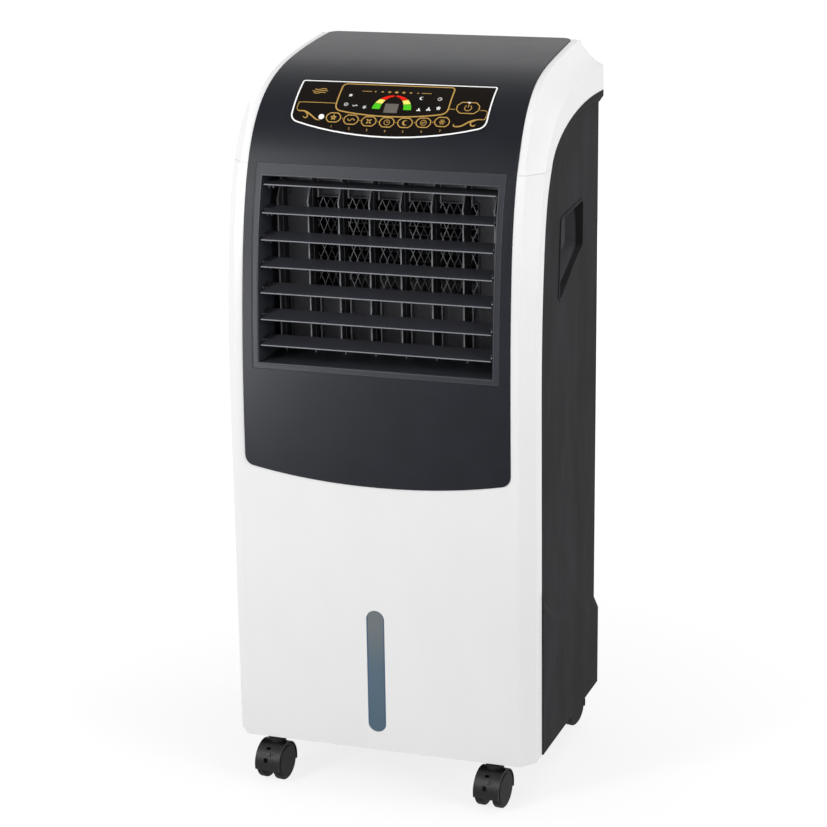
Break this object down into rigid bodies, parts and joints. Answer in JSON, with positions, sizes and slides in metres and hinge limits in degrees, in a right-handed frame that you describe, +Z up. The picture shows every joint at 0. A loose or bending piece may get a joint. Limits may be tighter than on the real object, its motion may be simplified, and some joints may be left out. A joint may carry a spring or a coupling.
{
  "type": "evaporative cooler",
  "caption": "Upright evaporative air cooler on casters: louvred air outlet, curved control panel, pull-out water tank and rear intake grille.",
  "frame": {"origin": "on the floor, under the middle of the cooler", "axes": "+Z up, the air outlet faces -Y, +X to the right seen from the front"},
  "size_m": [0.3694, 0.3046, 0.8355],
  "materials": {
    "white_shell": "satin",
    "dark_panel": "satin",
    "dark_shell": "fine grain",
    "outlet_bezel": "satin",
    "louvre_plastic": "satin",
    "vane_plastic": "satin",
    "link_plastic": "satin",
    "grille_plastic": "satin",
    "window_plastic": "polished",
    "label_film": "gloss",
    "key_plastic": "gloss",
    "display_plastic": "gloss",
    "circuit_board": "lacquered",
    "blower_plastic": "satin",
    "motor_enamel": "satin",
    "swing_motor_steel": "plated",
    "inner_plastic": "satin",
    "intake_plastic": "fine grain",
    "filter_mesh": "woven",
    "pad_paper": "corrugated",
    "tank_plastic": "satin",
    "pump_plastic": "satin",
    "hose_vinyl": "smooth",
    "screw_steel": "zinc plated",
    "gland_rubber": "matte",
    "caster_nylon": "satin",
    "wheel_nylon": "satin"
  },
  "bodies": {
    "cabinet": {"front_shell": "white_shell", "top_frame": "white_shell", "fascia": "dark_panel", "louvre_surround": "outlet_bezel", "rear_shell": "dark_shell", "base_pan": "inner_plastic", "inner_grille": "grille_plastic", "outlet_mesh": "grille_plastic", "fan_scroll": "blower_plastic", "fan_motor": "motor_enamel", "control_overlay": "label_film", "control_board": "circuit_board", "display_window": "display_plastic", "level_window": "window_plastic", "cooling_pad": "pad_paper", "swing_motor": "swing_motor_steel", "distribution_tray": "inner_plastic", "pump_hose": "hose_vinyl", "shell_screws": "screw_steel", "cord_gland": "gland_rubber", "inner_frame": "inner_plastic"},
    "tank": {"water_tank": "tank_plastic", "pump": "pump_plastic"},
    "intake_cassette": {"rear_grille": "intake_plastic", "dust_filter": "filter_mesh"},
    "blower_wheel": {"impeller": "blower_plastic"},
    "louvre_1_body": {"louvre_1": "louvre_plastic"},
    "louvre_2_body": {"louvre_2": "louvre_plastic"},
    "louvre_3_body": {"louvre_3": "louvre_plastic"},
    "louvre_4_body": {"louvre_4": "louvre_plastic"},
    "louvre_5_body": {"louvre_5": "louvre_plastic"},
    "louvre_6_body": {"louvre_6": "louvre_plastic"},
    "louvre_7_body": {"louvre_7": "louvre_plastic"},
    "louvre_link_body": {"louvre_link": "link_plastic"},
    "vane_1_body": {"vane_1": "vane_plastic"},
    "vane_2_body": {"vane_2": "vane_plastic"},
    "vane_3_body": {"vane_3": "vane_plastic"},
    "vane_4_body": {"vane_4": "vane_plastic"},
    "vane_5_body": {"vane_5": "vane_plastic"},
    "vane_6_body": {"vane_6": "vane_plastic"},
    "vane_7_body": {"vane_7": "vane_plastic"},
    "vane_8_body": {"vane_8": "vane_plastic"},
    "vane_link_body": {"vane_link": "link_plastic"},
    "key_1_body": {"key_1": "key_plastic"},
    "key_2_body": {"key_2": "key_plastic"},
    "key_3_body": {"key_3": "key_plastic"},
    "key_4_body": {"key_4": "key_plastic"},
    "key_5_body": {"key_5": "key_plastic"},
    "key_6_body": {"key_6": "key_plastic"},
    "key_7_body": {"key_7": "key_plastic"},
    "power_key_body": {"power_key": "key_plastic"},
    "caster_front_left": {"caster_hood_front_left": "caster_nylon"},
    "caster_front_left_wheels": {"caster_wheels_front_left": "wheel_nylon"},
    "caster_rear_left": {"caster_hood_rear_left": "caster_nylon"},
    "caster_rear_left_wheels": {"caster_wheels_rear_left": "wheel_nylon"},
    "caster_front_right": {"caster_hood_front_right": "caster_nylon"},
    "caster_front_right_wheels": {"caster_wheels_front_right": "wheel_nylon"},
    "caster_rear_right": {"caster_hood_rear_right": "caster_nylon"},
    "caster_rear_right_wheels": {"caster_wheels_rear_right": "wheel_nylon"}
  },
  "joints": [
    {"name": "tank_slide", "type": "slide", "parent": "cabinet", "child": "tank", "axis": [0, 1, 0], "range_m": [0, 0.17]},
    {"name": "cassette_slide", "type": "slide", "parent": "cabinet", "child": "intake_cassette", "axis": [0, 1, 0], "range_m": [0, 0.05]},
    {"name": "blower_spin", "type": "hinge", "parent": "cabinet", "child": "blower_wheel", "pos_m": [0, 0.027, 0.606], "axis": [1, 0, 0], "continuous": true},
    {"name": "louvre_1_tilt", "type": "hinge", "parent": "cabinet", "child": "louvre_1_body", "pos_m": [0, -0.09404, 0.70148], "axis": [1, 0, 0], "range_deg": [-28, 28]},
    {"name": "louvre_2_tilt", "type": "hinge", "parent": "cabinet", "child": "louvre_2_body", "pos_m": [0, -0.10194, 0.67243], "axis": [1, 0, 0], "range_deg": [-28, 28]},
    {"name": "louvre_3_tilt", "type": "hinge", "parent": "cabinet", "child": "louvre_3_body", "pos_m": [0, -0.10729, 0.64358], "axis": [1, 0, 0], "range_deg": [-28, 28]},
    {"name": "louvre_4_tilt", "type": "hinge", "parent": "cabinet", "child": "louvre_4_body", "pos_m": [0, -0.11116, 0.61442], "axis": [1, 0, 0], "range_deg": [-28, 28]},
    {"name": "louvre_5_tilt", "type": "hinge", "parent": "cabinet", "child": "louvre_5_body", "pos_m": [0, -0.11406, 0.58586], "axis": [1, 0, 0], "range_deg": [-28, 28]},
    {"name": "louvre_6_tilt", "type": "hinge", "parent": "cabinet", "child": "louvre_6_body", "pos_m": [0, -0.11637, 0.55618], "axis": [1, 0, 0], "range_deg": [-28, 28]},
    {"name": "louvre_7_tilt", "type": "hinge", "parent": "cabinet", "child": "louvre_7_body", "pos_m": [0, -0.11795, 0.52697], "axis": [1, 0, 0], "range_deg": [-28, 28]},
    {"name": "louvre_link_turn", "type": "hinge", "parent": "louvre_4_body", "child": "louvre_link_body", "pos_m": [0.1349, -0.10527, 0.61557], "axis": [1, 0, 0], "range_deg": [-28, 28]},
    {"name": "vane_1_swing", "type": "hinge", "parent": "cabinet", "child": "vane_1_body", "pos_m": [-0.126, -0.073, 0.608], "axis": [0, 0, 1], "range_deg": [-30, 30]},
    {"name": "vane_2_swing", "type": "hinge", "parent": "cabinet", "child": "vane_2_body", "pos_m": [-0.09, -0.073, 0.608], "axis": [0, 0, 1], "range_deg": [-30, 30]},
    {"name": "vane_3_swing", "type": "hinge", "parent": "cabinet", "child": "vane_3_body", "pos_m": [-0.054, -0.073, 0.608], "axis": [0, 0, 1], "range_deg": [-30, 30]},
    {"name": "vane_4_swing", "type": "hinge", "parent": "cabinet", "child": "vane_4_body", "pos_m": [-0.018, -0.073, 0.608], "axis": [0, 0, 1], "range_deg": [-30, 30]},
    {"name": "vane_5_swing", "type": "hinge", "parent": "cabinet", "child": "vane_5_body", "pos_m": [0.018, -0.073, 0.608], "axis": [0, 0, 1], "range_deg": [-30, 30]},
    {"name": "vane_6_swing", "type": "hinge", "parent": "cabinet", "child": "vane_6_body", "pos_m": [0.054, -0.073, 0.608], "axis": [0, 0, 1], "range_deg": [-30, 30]},
    {"name": "vane_7_swing", "type": "hinge", "parent": "cabinet", "child": "vane_7_body", "pos_m": [0.09, -0.073, 0.608], "axis": [0, 0, 1], "range_deg": [-30, 30]},
    {"name": "vane_8_swing", "type": "hinge", "parent": "cabinet", "child": "vane_8_body", "pos_m": [0.126, -0.073, 0.608], "axis": [0, 0, 1], "range_deg": [-30, 30]},
    {"name": "vane_link_turn", "type": "hinge", "parent": "vane_5_body", "child": "vane_link_body", "pos_m": [0.018, -0.065, 0.707], "axis": [0, 0, 1], "range_deg": [-30, 30]},
    {"name": "key_1_press", "type": "slide", "parent": "cabinet", "child": "key_1_body", "axis": [0, 0.7549, -0.6559], "range_m": [0, 0.0006], "stiffness_N_per_m": 900},
    {"name": "key_2_press", "type": "slide", "parent": "cabinet", "child": "key_2_body", "axis": [0, 0.7632, -0.6462], "range_m": [0, 0.0006], "stiffness_N_per_m": 900},
    {"name": "key_3_press", "type": "slide", "parent": "cabinet", "child": "key_3_body", "axis": [0, 0.768, -0.6405], "range_m": [0, 0.0006], "stiffness_N_per_m": 900},
    {"name": "key_4_press", "type": "slide", "parent": "cabinet", "child": "key_4_body", "axis": [0, 0.7696, -0.6385], "range_m": [0, 0.0006], "stiffness_N_per_m": 900},
    {"name": "key_5_press", "type": "slide", "parent": "cabinet", "child": "key_5_body", "axis": [0, 0.768, -0.6405], "range_m": [0, 0.0006], "stiffness_N_per_m": 900},
    {"name": "key_6_press", "type": "slide", "parent": "cabinet", "child": "key_6_body", "axis": [0, 0.7632, -0.6462], "range_m": [0, 0.0006], "stiffness_N_per_m": 900},
    {"name": "key_7_press", "type": "slide", "parent": "cabinet", "child": "key_7_body", "axis": [0, 0.7549, -0.6559], "range_m": [0, 0.0006], "stiffness_N_per_m": 900},
    {"name": "power_key_press", "type": "slide", "parent": "cabinet", "child": "power_key_body", "axis": [0, 0.6584, -0.7527], "range_m": [0, 0.0006], "stiffness_N_per_m": 900},
    {"name": "caster_front_left_swivel", "type": "hinge", "parent": "cabinet", "child": "caster_front_left", "pos_m": [-0.133, -0.122, 0.05], "axis": [0, 0, 1], "continuous": true},
    {"name": "caster_front_left_roll", "type": "hinge", "parent": "caster_front_left", "child": "caster_front_left_wheels", "pos_m": [-0.13352, -0.12697, 0.022], "axis": [0.9945, -0.1045, 0], "continuous": true},
    {"name": "caster_rear_left_swivel", "type": "hinge", "parent": "cabinet", "child": "caster_rear_left", "pos_m": [-0.149, 0.1275, 0.05], "axis": [0, 0, 1], "continuous": true},
    {"name": "caster_rear_left_roll", "type": "hinge", "parent": "caster_rear_left", "child": "caster_rear_left_wheels", "pos_m": [-0.15004, 0.12261, 0.022], "axis": [0.9781, -0.2079, 0], "continuous": true},
    {"name": "caster_front_right_swivel", "type": "hinge", "parent": "cabinet", "child": "caster_front_right", "pos_m": [0.133, -0.122, 0.05], "axis": [0, 0, 1], "continuous": true},
    {"name": "caster_front_right_roll", "type": "hinge", "parent": "caster_front_right", "child": "caster_front_right_wheels", "pos_m": [0.13248, -0.12697, 0.022], "axis": [0.9945, -0.1045, 0], "continuous": true},
    {"name": "caster_rear_right_swivel", "type": "hinge", "parent": "cabinet", "child": "caster_rear_right", "pos_m": [0.149, 0.1275, 0.05], "axis": [0, 0, 1], "continuous": true},
    {"name": "caster_rear_right_roll", "type": "hinge", "parent": "caster_rear_right", "child": "caster_rear_right_wheels", "pos_m": [0.14796, 0.12261, 0.022], "axis": [0.9781, -0.2079, 0], "continuous": true}
  ],
  "couplings": [
    {"joint": "louvre_1_tilt", "follows": "louvre_4_tilt", "ratio": 1},
    {"joint": "louvre_2_tilt", "follows": "louvre_4_tilt", "ratio": 1},
    {"joint": "louvre_3_tilt", "follows": "louvre_4_tilt", "ratio": 1},
    {"joint": "louvre_5_tilt", "follows": "louvre_4_tilt", "ratio": 1},
    {"joint": "louvre_6_tilt", "follows": "louvre_4_tilt", "ratio": 1},
    {"joint": "louvre_7_tilt", "follows": "louvre_4_tilt", "ratio": 1},
    {"joint": "louvre_link_turn", "follows": "louvre_4_tilt", "ratio": -1},
    {"joint": "vane_1_swing", "follows": "vane_5_swing", "ratio": 1},
    {"joint": "vane_2_swing", "follows": "vane_5_swing", "ratio": 1},
    {"joint": "vane_3_swing", "follows": "vane_5_swing", "ratio": 1},
    {"joint": "vane_4_swing", "follows": "vane_5_swing", "ratio": 1},
    {"joint": "vane_6_swing", "follows": "vane_5_swing", "ratio": 1},
    {"joint": "vane_7_swing", "follows": "vane_5_swing", "ratio": 1},
    {"joint": "vane_8_swing", "follows": "vane_5_swing", "ratio": 1},
    {"joint": "vane_link_turn", "follows": "vane_5_swing", "ratio": -1}
  ]
}
